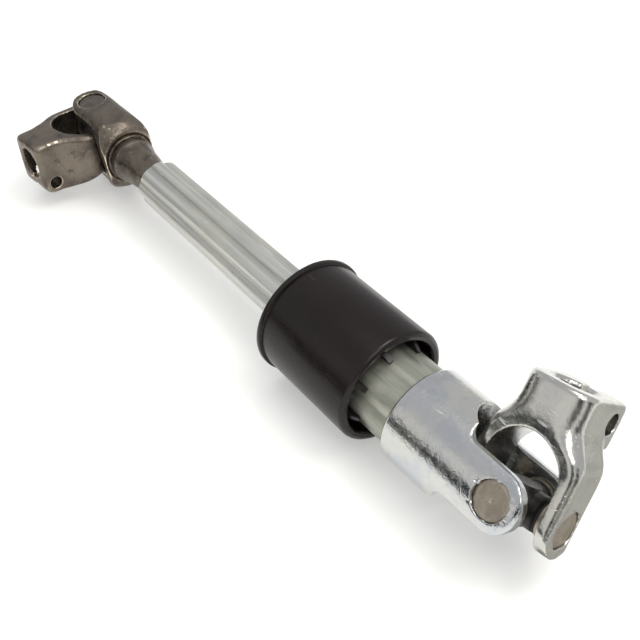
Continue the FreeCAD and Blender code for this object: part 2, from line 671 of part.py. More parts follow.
# ---------------------------------------------------------------- cross and bearings
def make_trunnion(direction):
    """Boss and bevelled trunnion, as one turned piece from the centre out."""
    trunnion = revolve_z([
        (0, 0), (BOSS_R, 0), (BOSS_R, BOSS_END - 1.0), (BOSS_R - 1.0, BOSS_END),
        (TRUNNION_R, BOSS_END), (TRUNNION_R, TRUNNION_END - 0.5),
        (TRUNNION_R - 0.5, TRUNNION_END), (0, TRUNNION_END)])
    return placed(trunnion, frame(ORIGIN, Z.cross(direction), Z, direction))


def make_cross(centre, first, second):
    """Cross with its trunnions along the directions `first` and `second`."""
    body = revolve_z([(0, -7.6), (5.5, -7.6), (8.0, -5.0), (9.2, -2.0),
                      (9.2, 2.0), (8.0, 5.0), (5.5, 7.6), (0, 7.6)])
    for direction in (X, V(-1, 0, 0), Y, V(0, -1, 0)):
        body = body.fuse(make_trunnion(direction))
    return placed(body.removeSplitter(), frame(centre, first, second, first.cross(second)))


def bearing_frame(centre, direction):
    """Frame with its z along the trunnion."""
    across = direction.cross(V(0.3, 0.5, 0.8))
    across.normalize()
    return frame(centre, across, direction.cross(across), direction)


def make_cup():
    return revolve_z([
        (0, CUP_FLOOR), (CUP_BORE_R - 0.6, CUP_FLOOR), (CUP_BORE_R, CUP_FLOOR - 0.6),
        (CUP_BORE_R, CUP_MOUTH), (CUP_R - 0.3, CUP_MOUTH), (CUP_R, CUP_MOUTH + 0.3),
        (CUP_R, CUP_FACE - CUP_CHAMFER), (CUP_R - 0.45, CUP_FACE - 0.35),
        (CUP_R - CUP_CHAMFER, CUP_FACE), (0, CUP_FACE)])


def make_needles():
    needles = []
    for i in range(NEEDLE_COUNT):
        angle = 2 * math.pi * i / NEEDLE_COUNT
        start = V(NEEDLE_PITCH_R * math.cos(angle), NEEDLE_PITCH_R * math.sin(angle),
                  NEEDLE_START)
        needles.append(Part.makeCylinder(NEEDLE_R, NEEDLE_END - NEEDLE_START, start))
    return Part.makeCompound(needles)


def make_seal():
    return revolve_z([
        (TRUNNION_R, BOSS_END), (SEAL_R - 0.6, BOSS_END), (SEAL_R, BOSS_END + 0.4),
        (SEAL_R - 0.2, SEAL_END), (TRUNNION_R, SEAL_END)])


# ---------------------------------------------------------------- build
save("sleeve", make_sleeve())
save("wiper_seal", make_wiper())
save("inner_tube", make_inner_tube())
save("slide_liner", make_liner())
save("outer_tube", make_outer_tube())
save("lower_tube_yoke", make_lower_tube_yoke())
save("upper_shaft_yoke", make_upper_shaft_yoke())

lower_clamp = make_clamp_yoke(LOWER_SECTIONS, end_r=1.3, bolt_b=-11.9, bolt_h=37.9,
                              lug=(13.6, -19.4, 27.2))
upper_clamp = make_clamp_yoke(UPPER_SECTIONS, end_r=2.4, bolt_b=-10.6, bolt_h=39.0,
                              corner=(-17.7, 7.6))
# the lower a axis is reversed so that its frame is right-handed
save("lower_clamp_yoke", placed(lower_clamp, frame(
    LOWER_CENTRE, combine((-1, LOWER_CLAMP_ARM)), LOWER_ARM, LOWER_HUB)))
save("upper_clamp_yoke", placed(upper_clamp, frame(
    UPPER_CENTRE, UPPER_CLAMP_ARM, UPPER_CLAMP_SIDE, UPPER_HUB)))

for joint, centre, arm, clamp_arm in (
        ("lower", LOWER_CENTRE, LOWER_ARM, LOWER_CLAMP_ARM),
        ("upper", UPPER_CENTRE, UPPER_ARM, UPPER_CLAMP_ARM)):
    save(joint + "_cross", make_cross(centre, arm, clamp_arm))
    for place, direction in (("near", arm), ("far", combine((-1, arm))),
                             ("right", clamp_arm), ("left", combine((-1, clamp_arm)))):
        matrix = bearing_frame(centre, direction)
        for piece, make in (("cup", make_cup), ("needles", make_needles),
                            ("seal", make_seal)):
            save("%s_%s_%s" % (joint, piece, place), placed(make(), matrix))
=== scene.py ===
# A telescoping shaft with a universal joint at each end. Its tubes lie along X, with Z up,
# above a pale floor. Units are metres, except the turned outlines, which are in millimetres.
import bpy
import bmesh
import json
import math
import numpy as np
from mathutils import Matrix, Vector


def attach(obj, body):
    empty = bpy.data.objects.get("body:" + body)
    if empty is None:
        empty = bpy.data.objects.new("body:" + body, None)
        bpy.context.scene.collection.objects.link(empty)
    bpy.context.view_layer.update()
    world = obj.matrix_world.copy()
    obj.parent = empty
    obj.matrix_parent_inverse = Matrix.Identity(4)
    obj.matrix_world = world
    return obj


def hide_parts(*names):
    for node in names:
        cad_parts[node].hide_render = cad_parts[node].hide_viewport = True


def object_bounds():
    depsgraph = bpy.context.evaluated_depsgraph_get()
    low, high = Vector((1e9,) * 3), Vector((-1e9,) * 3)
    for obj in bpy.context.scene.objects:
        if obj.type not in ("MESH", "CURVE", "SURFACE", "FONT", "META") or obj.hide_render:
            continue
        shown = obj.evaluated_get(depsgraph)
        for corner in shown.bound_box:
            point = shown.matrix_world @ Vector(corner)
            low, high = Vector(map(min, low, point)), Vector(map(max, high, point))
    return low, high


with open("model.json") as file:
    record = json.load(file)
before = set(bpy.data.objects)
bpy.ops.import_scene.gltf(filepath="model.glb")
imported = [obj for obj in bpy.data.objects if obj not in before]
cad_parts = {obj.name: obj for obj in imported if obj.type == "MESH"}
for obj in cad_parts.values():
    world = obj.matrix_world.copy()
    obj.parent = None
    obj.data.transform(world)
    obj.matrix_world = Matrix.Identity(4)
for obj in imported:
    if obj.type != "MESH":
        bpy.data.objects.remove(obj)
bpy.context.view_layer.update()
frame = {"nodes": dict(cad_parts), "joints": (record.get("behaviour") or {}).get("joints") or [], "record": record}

MM = 0.001
scene = bpy.context.scene
record = frame["record"]
joints = {joint["name"]: joint for joint in frame["joints"]}
mounts = {mount["name"]: mount for mount in record["mounts"]}
BODY = {node: body for body, nodes in record["behaviour"]["bodies"].items() for node in nodes}
SLOT = {part["node"]: part["material_slot"] for part in record["subparts"]}


# ------------------------------------------------------------------ shader builder
class Shader:
    """Builds a node tree. It carries the colour and the normal painted so far."""

    def __init__(self, tree, coordinate):
        self.tree = tree
        tree.nodes.clear()
        self.coords = self.node("TexCoord", {}).outputs[coordinate]
        self.colour = None
        self.normal = None

    def put(self, socket, value):
        """Links a socket, or sets a plain value. Colours are given without alpha."""
        if isinstance(value, bpy.types.NodeSocket):
            self.tree.links.new(value, socket)
        elif socket.type == "RGBA":
            socket.default_value = (*value, 1.0)
        else:
            socket.default_value = value

    def node(self, kind, inputs, **settings):
        node = self.tree.nodes.new("ShaderNode" + kind)
        for name, value in settings.items():
            setattr(node, name, value)
        for key, value in inputs.items():
            self.put(node.inputs[key], value)
        return node

    def math(self, operation, first, second=0.0):
        return self.node("Math", {0: first, 1: second}, operation=operation).outputs[0]

    def add(self, first, second):
        return self.math("ADD", first, second)

    def times(self, value, by):
        return self.math("MULTIPLY", value, by)

    def ramp(self, value, span, to=(0.0, 1.0)):
        """Smooth step: takes span[0]..span[1] to to[0]..to[1]."""
        return self.node("MapRange", {
            "Value": value, "From Min": span[0], "From Max": span[1],
            "To Min": to[0], "To Max": to[1]}, interpolation_type="SMOOTHSTEP").outputs[0]

    def shift(self, value, mask, to):
        """Moves a number to another where the mask is high."""
        return self.node("Mix", {0: mask, 2: value, 3: to}, data_type="FLOAT").outputs[0]

    def base(self, mask, low, high):
        """Starts the colour: low to high as the mask rises."""
        self.colour = self.node("Mix", {0: mask, 6: low, 7: high}, data_type="RGBA").outputs[2]

    def overlay(self, mask, colour, share=None):
        """Paints over the colour so far where the mask is high, up to the given share."""
        if share is not None:
            mask = self.times(mask, by=share)
        self.base(mask, self.colour, colour)

    def bump(self, height, strength, distance):
        """Adds relief to the normal so far."""
        inputs = {"Strength": strength, "Distance": distance, "Height": height}
        if self.normal is not None:
            inputs["Normal"] = self.normal
        self.normal = self.node("Bump", inputs).outputs[0]

    def stretched(self, scale, turn=(0, 0, 0), offset=(0, 0, 0)):
        return self.node("Mapping", {"Scale": scale, "Rotation": turn, "Location": offset,
                                     "Vector": self.coords}).outputs[0]

    def noise(self, scale, detail=4.0, rough=0.6, warp=0.0, vector=None):
        return self.node("TexNoise", {
            "Vector": vector or self.coords, "Scale": scale, "Detail": detail,
            "Roughness": rough, "Distortion": warp}).outputs["Fac"]

    def voronoi(self, scale, feature="F1"):
        return self.node("TexVoronoi", {"Vector": self.coords, "Scale": scale, "Randomness": 1.0},
                         feature=feature).outputs["Distance"]

    def pointiness(self):
        """Above 0.5 on outward edges, below it in hollows."""
        return self.node("NewGeometry", {}).outputs["Pointiness"]

    def scratches(self, seed, length, width, start, turn):
        """Thin straight marks: stretched noise, kept where a broad noise is above start."""
        offset = (seed * 3.7, seed * 1.3, seed * 2.1)
        thin = self.stretched((1 / length, 0.4 / width, 0.4 / width), turn, offset)
        marks = self.noise(scale=1.0, detail=1.0, rough=0.4, warp=0.05, vector=thin)
        where = self.noise(scale=46.0 + seed, detail=3.0)
        return self.times(self.ramp(marks, span=(0.675, 0.73)),
                          by=self.ramp(where, span=(start, start + 0.10)))

    def axis_distance(self, *across):
        """Distance from an axis through the origin, from the two coordinates across it."""
        split = self.node("SeparateXYZ", {0: self.coords})
        squares = [self.times(split.outputs[name], by=split.outputs[name]) for name in across]
        return self.math("SQRT", self.add(*squares))


class Material(Shader):
    """A Principled material in object coordinates."""

    def __init__(self, name):
        self.material = bpy.data.materials.new(name)
        self.material.use_nodes = True
        super().__init__(self.material.node_tree, "Object")
        self.principled = self.node("BsdfPrincipled", {})
        self.node("OutputMaterial", {"Surface": self.principled.outputs[0]})

    def finish(self, rough, metal=0.0, spec=0.5):
        inputs = {"Base Color": self.colour, "Metallic": metal, "Roughness": rough,
                  "Specular IOR Level": spec}
        if self.normal is not None:
            inputs["Normal"] = self.normal
        for name, value in inputs.items():
            self.put(self.principled.inputs[name], value)
        return self.material


# ------------------------------------------------------------------ materials
def moulded_black():
    mat = Material("moulded_black")
    fine = mat.noise(scale=900.0)
    speck = mat.ramp(mat.noise(scale=420.0, detail=5.0, rough=0.7), span=(0.66, 0.74))
    scratch = mat.scratches(seed=1.0, length=0.02, width=0.00025, start=0.56, turn=(0.4, 0.2, 0.9))
    mat.base(mat.noise(scale=28.0, detail=3.0, rough=0.55),
             low=(0.0060, 0.0038, 0.0040), high=(0.0120, 0.0080, 0.0080))
    mat.overlay(speck, colour=(0.04, 0.036, 0.034), share=0.20)
    mat.overlay(scratch, colour=(0.07, 0.065, 0.06), share=0.35)
    # lighter along outward edges: painted highlight on the sleeve's rims and ribs
    edge = mat.ramp(mat.pointiness(), span=(0.515, 0.56))
    mat.overlay(edge, colour=(0.022, 0.019, 0.018), share=0.3)
    rough = mat.ramp(mat.noise(scale=60.0), span=(0.3, 0.7), to=(0.20, 0.31))
    waves = mat.noise(scale=110.0, detail=2.0, rough=0.5)
    mat.bump(mat.add(mat.times(fine, by=0.25), mat.times(waves, by=1.0)),
             strength=0.12, distance=0.0004)
    mat.bump(scratch, strength=0.25, distance=0.00005)
    return mat.finish(rough=mat.shift(rough, speck, to=0.48), spec=0.27)


def zinc(name, cool, warm, rough_span, mottle, seed):
    """Zinc-plated forging: cool and warm patches, dull spots and bright scratches."""
    mat = Material(name)
    vector = mat.stretched((1, 1, 1))
    patch = mat.noise(scale=55.0 + seed, warp=0.6, vector=vector)
    grain = mat.noise(scale=620.0, detail=5.0, rough=0.65, warp=0.4, vector=vector)
    peel = mat.noise(scale=330.0, detail=3.0, warp=0.8, vector=vector)
    short, long, shortest = (
        mat.scratches(seed, length=0.011, width=0.00030, start=0.55, turn=(0.2, 0.7, 1.1)),
        mat.scratches(seed + 2.0, length=0.016, width=0.00040, start=0.58, turn=(1.0, 0.1, -0.6)),
        mat.scratches(seed + 5.0, length=0.007, width=0.00028, start=0.52, turn=(-0.5, 1.3, 0.3)))
    scratch = mat.math("MAXIMUM", mat.math("MAXIMUM", short, long), shortest)
    dents = mat.ramp(mat.voronoi(scale=120.0, feature="SMOOTH_F1"), span=(0.10, 0.28))
    relief = mat.pointiness()
    mat.base(mat.ramp(patch, span=(0.35, 0.65)), cool, warm)
    spots = mat.noise(scale=260.0, rough=0.7, warp=0.3, vector=vector)
    mat.overlay(mat.ramp(spots, span=(0.60, 0.72)), colour=(0.36, 0.36, 0.34), share=0.22)
    # darker in hollows: painted shade in creases and recesses
    mat.overlay(mat.ramp(relief, span=(0.495, 0.44)), colour=(0.22, 0.21, 0.185), share=0.45)
    mat.overlay(mat.ramp(relief, span=(0.52, 0.58)), colour=(0.80, 0.80, 0.78), share=0.45)
    mat.overlay(scratch, colour=(0.88, 0.88, 0.86), share=0.75)
    dull = mat.noise(scale=95.0, rough=0.7, warp=0.8, vector=vector)
    mat.overlay(mat.ramp(dull, span=(0.56, 0.66)), colour=(0.40, 0.405, 0.395), share=0.28)
    rough = mat.ramp(mat.add(mat.times(grain, by=0.5), mat.times(patch, by=0.5)),
                     span=(0.35, 0.65), to=rough_span)
    mat.bump(mat.add(mat.times(peel, by=1.0), mat.times(grain, by=0.35)),
             strength=mottle, distance=0.0006)
    mat.bump(dents, strength=mottle * 0.5, distance=0.0003)
    mat.bump(scratch, strength=0.35, distance=0.00008)
    return mat.finish(rough=mat.shift(rough, scratch, to=0.58), metal=1.0)


def forged_steel():
    mat = Material("forged_steel")
    broad = mat.noise(scale=42.0, warp=0.5)
    middle = mat.noise(scale=170.0, rough=0.65, warp=0.5)
    fine = mat.noise(scale=750.0, rough=0.65)
    pits = mat.times(mat.ramp(mat.voronoi(scale=230.0), span=(0.0, 0.22), to=(1.0, 0.0)),
                     by=mat.ramp(mat.noise(scale=48.0, detail=2.0, rough=0.5), span=(0.46, 0.6)))
    scratch = mat.scratches(seed=7.0, length=0.010, width=0.00032, start=0.56,
                            turn=(0.6, -0.3, 0.8))
    relief = mat.pointiness()
    mat.base(mat.ramp(broad, span=(0.33, 0.67)),
             low=(0.112, 0.093, 0.080), high=(0.210, 0.178, 0.146))
    mat.overlay(mat.ramp(middle, span=(0.48, 0.68)), colour=(0.200, 0.186, 0.140), share=0.8)
    mat.overlay(mat.ramp(mat.noise(scale=120.0, warp=0.3), span=(0.55, 0.66)),
                colour=(0.080, 0.065, 0.060), share=0.7)
    mat.overlay(pits, colour=(0.06, 0.048, 0.04), share=0.6)
    # darker in hollows: painted shade in the crevices
    mat.overlay(mat.ramp(relief, span=(0.492, 0.43)), colour=(0.050, 0.042, 0.032), share=0.6)
    # lighter on outward edges where a noise allows: rubbed wear and a painted highlight, with lower roughness
    # there
    edge = mat.times(mat.ramp(relief, span=(0.507, 0.540)),
                     by=mat.ramp(mat.noise(scale=110.0, rough=0.7), span=(0.36, 0.58)))
    mat.overlay(edge, colour=(0.78, 0.69, 0.54), share=0.85)
    mat.overlay(scratch, colour=(0.62, 0.56, 0.46), share=0.5)
    rough = mat.ramp(mat.add(mat.times(middle, by=0.6), mat.times(fine, by=0.4)),
                     span=(0.35, 0.65), to=(0.30, 0.46))
    mat.bump(mat.add(mat.times(middle, by=1.0), mat.times(fine, by=0.22)),
             strength=0.42, distance=0.0007)
    mat.bump(mat.noise(scale=75.0, detail=3.0, rough=0.55, warp=0.3),
             strength=0.45, distance=0.0022)
    mat.bump(pits, strength=-0.35, distance=0.0002)
    return mat.finish(rough=mat.shift(rough, edge, to=0.24), metal=1.0)


def drawn_tube(name, light, dark, groove_radius, crest_radius):
    """Tube with its grain along X, darker below the crest radius: painted shade in the flute grooves."""
    mat = Material(name)
    grain = mat.noise(scale=1.0, warp=0.1, vector=mat.stretched((14.0, 420.0, 420.0)))
    lines = mat.noise(scale=1.0, detail=3.0, vector=mat.stretched((30.0, 1500.0, 1500.0)))
    blot = mat.noise(scale=60.0, warp=0.5, vector=mat.stretched((0.45, 1, 1)))
    spot = mat.ramp(mat.noise(scale=330.0, rough=0.7), span=(0.62, 0.74))
    # darker towards the bottom of the flutes, below the crest radius: painted shade in the grooves
    painted_groove_shade = mat.ramp(mat.axis_distance("Y", "Z"), span=(groove_radius, crest_radius),
                      to=(1.0, 0.0))
    mat.base(mat.ramp(grain, span=(0.32, 0.68)), dark, light)
    mat.overlay(mat.ramp(blot, span=(0.45, 0.65)), colour=(0.66, 0.655, 0.56), share=0.45)
    mat.overlay(painted_groove_shade, colour=(0.30, 0.30, 0.265), share=0.28)
    mat.overlay(spot, colour=(0.33, 0.32, 0.28), share=0.22)
    scratch = mat.scratches(seed=11.0, length=0.02, width=0.0003, start=0.55,
                            turn=(0.1, 0.15, 0.05))
    mat.overlay(scratch, colour=(0.88, 0.88, 0.85), share=0.7)
    rough = mat.ramp(mat.add(mat.times(lines, by=0.5), mat.times(blot, by=0.5)),
                     span=(0.3, 0.7), to=(0.34, 0.50))
    mat.bump(mat.add(mat.times(grain, by=0.8), mat.times(lines, by=0.3)),
             strength=0.12, distance=0.0005)
    mat.bump(mat.noise(scale=420.0), strength=0.12, distance=0.0004)
    return mat.finish(rough=rough, metal=0.82)


def turned_cup(name, low, high, edge_colour):
    """Turned and hardened cup: fine rings about its own Z axis."""
    mat = Material(name)
    wobble = mat.times(mat.noise(scale=300.0, detail=2.0, rough=0.5), by=0.0006)
    rings = mat.math("SINE", mat.times(mat.add(mat.axis_distance("X", "Y"), wobble), by=9000.0))
    blot = mat.noise(scale=190.0, warp=0.6)
    fine = mat.noise(scale=1300.0, rough=0.65)
    mat.base(mat.ramp(blot, span=(0.35, 0.65)), low, high)
    spot = mat.ramp(mat.noise(scale=700.0, detail=3.0, rough=0.7), span=(0.62, 0.72))
    mat.overlay(spot, colour=(0.12, 0.10, 0.085), share=0.4)
    mat.overlay(mat.ramp(mat.pointiness(), span=(0.53, 0.60)), edge_colour, share=0.5)
    mat.bump(mat.add(mat.times(rings, by=0.10), mat.add(mat.times(fine, by=0.5), blot)),
             strength=0.16, distance=0.0003)
    return mat.finish(rough=mat.ramp(fine, span=(0.3, 0.7), to=(0.36, 0.52)), metal=1.0)


def black_oxide():
    mat = Material("black_oxide")
    broad = mat.noise(scale=90.0, warp=0.4)
    fine = mat.noise(scale=900.0, rough=0.65)
    mat.base(mat.ramp(broad, span=(0.35, 0.65)),
             low=(0.022, 0.021, 0.022), high=(0.055, 0.050, 0.047))
    edge = mat.ramp(mat.pointiness(), span=(0.53, 0.60))
    mat.overlay(edge, colour=(0.22, 0.20, 0.18), share=0.5)
    mat.bump(mat.add(broad, mat.times(fine, by=0.4)), strength=0.25, distance=0.0005)
    return mat.finish(rough=mat.ramp(fine, span=(0.3, 0.7), to=(0.30, 0.48)), metal=0.75)


def seal_rubber():
    mat = Material("seal_rubber_black")
    broad = mat.noise(scale=150.0, detail=3.0)
    fine = mat.noise(scale=1600.0, rough=0.7)
    dust = mat.ramp(mat.noise(scale=260.0, detail=5.0, rough=0.7), span=(0.55, 0.75))
    mat.base(broad, low=(0.012, 0.012, 0.012), high=(0.028, 0.027, 0.026))
    mat.overlay(dust, colour=(0.09, 0.085, 0.08), share=0.3)
    mat.bump(mat.add(fine, broad), strength=0.25, distance=0.0003)
    return mat.finish(rough=mat.ramp(fine, span=(0.3, 0.7), to=(0.50, 0.72)))


def liner_nylon():
    mat = Material("liner_nylon")
    fine = mat.noise(scale=1200.0)
    lines = mat.noise(scale=1.0, detail=3.0, vector=mat.stretched((25.0, 1200.0, 1200.0)))
    mat.base(mat.noise(scale=80.0, detail=3.0), low=(0.60, 0.58, 0.50), high=(0.74, 0.72, 0.65))
    mat.overlay(mat.ramp(lines, span=(0.55, 0.75)), colour=(0.35, 0.33, 0.28), share=0.35)
    mat.bump(mat.add(fine, lines), strength=0.2, distance=0.0003)
    return mat.finish(rough=mat.ramp(fine, span=(0.3, 0.7), to=(0.42, 0.6)))


def ground_steel():
    mat = Material("ground_steel")
    fine = mat.noise(scale=1.0, detail=3.0, vector=mat.stretched((900.0, 900.0, 900.0)))
    mat.base(mat.noise(scale=240.0, detail=3.0, rough=0.5),
             low=(0.50, 0.50, 0.50), high=(0.68, 0.68, 0.67))
    mat.bump(fine, strength=0.15, distance=0.0002)
    return mat.finish(rough=mat.ramp(fine, span=(0.3, 0.7), to=(0.15, 0.30)), metal=1.0)


MATERIALS = {
    "sleeve_plastic": moulded_black(),
    "seal_rubber": seal_rubber(),
    "fluted_tube_steel": drawn_tube(
        "zinc_fluted_tube", light=(0.64, 0.64, 0.612), dark=(0.475, 0.48, 0.455),
        groove_radius=0.0111, crest_radius=0.0122),
    "liner_plastic": liner_nylon(),
    "zinc_tube_steel": drawn_tube(
        "zinc_outer_tube", light=(0.40, 0.405, 0.345), dark=(0.28, 0.295, 0.25),
        groove_radius=0.0178, crest_radius=0.0185),
    "zinc_forging": zinc(
        "zinc_forging", cool=(0.530, 0.550, 0.578), warm=(0.625, 0.620, 0.588),
        rough_span=(0.12, 0.25), mottle=0.25, seed=1.0),
    "bright_forging": zinc(
        "bright_forging", cool=(0.535, 0.535, 0.520), warm=(0.62, 0.61, 0.565),
        rough_span=(0.15, 0.26), mottle=0.17, seed=4.0),
    "dark_forging": forged_steel(),
    "cross_steel": black_oxide(),
    "cup_steel": turned_cup(
        "cup_steel", low=(0.37, 0.325, 0.265), high=(0.47, 0.415, 0.34),
        edge_colour=(0.66, 0.61, 0.53)),
    "needle_steel": ground_steel(),
}
UPPER_CUP = turned_cup("cup_steel_dark", low=(0.128, 0.110, 0.096), high=(0.188, 0.165, 0.142),
                       edge_colour=(0.34, 0.30, 0.25))


# ------------------------------------------------------------------ mesh helpers
def set_material(mesh, material):
    mesh.materials.clear()
    mesh.materials.append(material)


def add_object(name, data):
    piece = bpy.data.objects.new(name, data)
    scene.collection.objects.link(piece)
    return piece


def add_piece(node, mesh, material=None):
    """Adds a mesh that stands in for a CAD node."""
    piece = add_object(node + "_body", mesh)
    set_material(mesh, material or MATERIALS[SLOT[node]])
    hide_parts(node)
    return piece


def mesh_from(bm, name):
    mesh = bpy.data.meshes.new(name)
    bm.to_mesh(mesh)
    bm.free()
    return mesh


def node_copy(node):
    """The node's solid as one welded mesh."""
    mesh = frame["nodes"][node].data.copy()
    bm = bmesh.new()
    bm.from_mesh(mesh)
    bmesh.ops.remove_doubles(bm, verts=bm.verts, dist=2e-6)
    bmesh.ops.dissolve_degenerate(bm, edges=bm.edges, dist=1e-7)
    bmesh.ops.recalc_face_normals(bm, faces=bm.faces)
    bm.to_mesh(mesh)
    bm.free()
    mesh.name = node + "_mesh"
    while mesh.attributes.get("custom_normal"):
        mesh.attributes.remove(mesh.attributes["custom_normal"])
    return mesh


def apply_modifiers(piece):
    bpy.context.view_layer.update()
    graph = bpy.context.evaluated_depsgraph_get()
    mesh = bpy.data.meshes.new_from_object(piece.evaluated_get(graph),
                                           preserve_all_data_layers=True, depsgraph=graph)
    piece.modifiers.clear()
    old = piece.data
    piece.data = mesh
    bpy.data.meshes.remove(old)


def read_vectors(items, attribute):
    values = np.empty(len(items) * 3)
    items.foreach_get(attribute, values)
    return values.reshape(-1, 3)


def keep_largest_shell(mesh):
    bm = bmesh.new()
    bm.from_mesh(mesh)
    seen = set()
    shells = []
    for start in bm.verts:
        if start in seen:
            continue
        seen.add(start)
        shell = [start]
        for vert in shell:  # the list grows as it is walked
            for edge in vert.link_edges:
                other = edge.other_vert(vert)
                if other not in seen:
                    seen.add(other)
                    shell.append(other)
        shells.append(shell)
    shells.sort(key=len)
    if len(shells) > 1:
        loose = [vert for shell in shells[:-1] for vert in shell]
        bmesh.ops.delete(bm, geom=loose, context="VERTS")
        bm.to_mesh(mesh)
    bm.free()


# ------------------------------------------------------------------ forged yokes
HUB_FADE = 0.005                # length over which smoothing sets in along the hub
BORE_CLEAR = (0.0092, 0.0106)   # radii from the bore axis: untouched, fully smoothed
BOLT_CLEAR = (0.0050, 0.0066)   # the same from the bolt axis
WEIGHT_STEPS = 12


def smooth_step(value, start, end):
    part = np.clip((value - start) / (end - start), 0.0, 1.0)
    return part * part * (3.0 - 2.0 * part)


def hub_outside(end, start):
    """1 on the outside of a clamp hub beyond start, 0 on its bore and round its bolt holes."""
    def along_and_off(points, mount):
        axis = np.array(mount["axis"])
        axis = axis / np.linalg.norm(axis)
        offset = points - np.array(mount["pos_m"])
        along = offset @ axis
        return along, np.linalg.norm(offset - along[:, None] * axis, axis=1)

    def weights(points):
        along, off_bore = along_and_off(points, mounts[end + "_clamp_bore"])
        off_bolt = along_and_off(points, mounts[end + "_pinch_bolt_thread"])[1]
        return (smooth_step(along, start, start + HUB_FADE) * smooth_step(off_bore, *BORE_CLEAR)
                * smooth_step(off_bolt, *BOLT_CLEAR))
    return weights


def unevenness(height, frequency, seed):
    """Slow waviness of a surface, the mean of ten waves no higher than height."""
    rng = np.random.RandomState(seed)
    waves = rng.normal(size=(10, 3)) * frequency
    phases = rng.uniform(0, 6.28, 10)

    def offset(points):
        return height * np.mean([np.sin(points @ wave + phase)
                                 for wave, phase in zip(waves, phases)], axis=0)
    return offset


def add_relax(piece, name, iterations):
    relax = piece.modifiers.new(name, "SMOOTH")
    relax.factor = 0.5
    relax.iterations = iterations
    return relax


def relax_where(piece, weights, iterations):
    level = np.rint(weights(read_vectors(piece.data.vertices, "co")) * WEIGHT_STEPS).astype(int)
    group = piece.vertex_groups.new(name="where")
    for k in range(1, WEIGHT_STEPS + 1):
        group.add([int(i) for i in np.nonzero(level == k)[0]], k / WEIGHT_STEPS, "REPLACE")
    add_relax(piece, "relax_more", iterations).vertex_group = "where"
    apply_modifiers(piece)
    piece.vertex_groups.clear()


def soft_forging(node, voxel, iterations, uneven, hub=None, hub_iterations=0):
    """The node's own shape with a forging's rounded edges: remeshed finely and relaxed."""
    piece = add_piece(node, node_copy(node))
    remesh = piece.modifiers.new("remesh", "REMESH")
    remesh.mode = "VOXEL"
    remesh.voxel_size = voxel
    remesh.adaptivity = 0.0
    add_relax(piece, "relax", iterations)
    apply_modifiers(piece)
    mesh = piece.data
    keep_largest_shell(mesh)
    points = read_vectors(mesh.vertices, "co")
    normals = read_vectors(mesh.vertex_normals, "vector")
    points = points + normals * uneven(points)[:, None]
    mesh.vertices.foreach_set("co", points.ravel())
    mesh.update()
    if hub is not None:
        relax_where(piece, hub, hub_iterations)
    piece.data.shade_smooth()
    set_material(piece.data, MATERIALS[SLOT[node]])
    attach(piece, BODY[node])


soft_forging("lower_tube_yoke", voxel=0.00042, iterations=5,
             uneven=unevenness(height=0.00006, frequency=260.0, seed=1))
soft_forging("lower_clamp_yoke", voxel=0.00040, iterations=4,
             uneven=unevenness(height=0.00007, frequency=240.0, seed=2),
             hub=hub_outside("lower", start=-0.010), hub_iterations=70)
soft_forging("upper_shaft_yoke", voxel=0.00042, iterations=9,
             uneven=unevenness(height=0.00016, frequency=230.0, seed=3))
soft_forging("upper_clamp_yoke", voxel=0.00040, iterations=9,
             uneven=unevenness(height=0.00016, frequency=230.0, seed=4),
             hub=hub_outside("upper", start=-0.004), hub_iterations=110)

# ------------------------------------------------------------------ tubes, sleeve, liner, crosses
# CAD shapes kept as they are: node, angle in degrees above which an edge stays sharp
CRISP_NODES = (("inner_tube", 40), ("outer_tube", 40), ("sleeve", 28), ("wiper_seal", 30),
               ("slide_liner", 40), ("lower_cross", 28), ("upper_cross", 28))


def crisp(node, angle):
    mesh = node_copy(node)
    piece = add_piece(node, mesh)
    mesh.shade_smooth()
    mesh.set_sharp_from_angle(angle=math.radians(angle))
    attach(piece, BODY[node])


for node, angle in CRISP_NODES:
    crisp(node, angle)

# ------------------------------------------------------------------ cups and seals
# Turned outlines in mm: radius, distance from the joint's centre, rounding of the corner
CUP_OUTLINE = (
    (0.0, 18.25, 0), (6.55, 18.25, 0.5), (6.55, 12.2, 0.1), (7.5, 12.2, 0.25),
    (7.5, 19.25, 0.5), (6.55, 19.7, 0.35), (5.9, 19.7, 0.1), (5.6, 19.62, 0.2),
    (0.75, 19.62, 0.15), (0.45, 19.35, 0.15), (0.0, 19.22, 0))
SEAL_OUTLINE = (
    (4.5, 10.9, 0), (6.3, 10.9, 0.3), (7.05, 11.15, 0.2), (6.7, 11.5, 0.2),
    (7.05, 11.85, 0.2), (6.6, 12.15, 0.3), (4.5, 12.15, 0))
CORNER_STEPS = 4
TURNED_SIDES = 96


def rounded(outline):
    """The outline as (radius, z) points, each corner with a rounding drawn as a curve."""
    points = []
    for i, (radius, z, rounding) in enumerate(outline):
        if rounding <= 0:
            points.append((radius, z))
            continue
        corner = Vector((radius, z))
        back = Vector(outline[i - 1][:2]) - corner
        ahead = Vector(outline[i + 1][:2]) - corner
        reach = min(rounding, back.length * 0.49, ahead.length * 0.49)
        start = corner + back / back.length * reach
        end = corner + ahead / ahead.length * reach
        for k in range(CORNER_STEPS + 1):
            s = k / CORNER_STEPS
            point = start * (1 - s) ** 2 + corner * 2 * s * (1 - s) + end * s * s
            points.append((point.x, point.y))
    return points


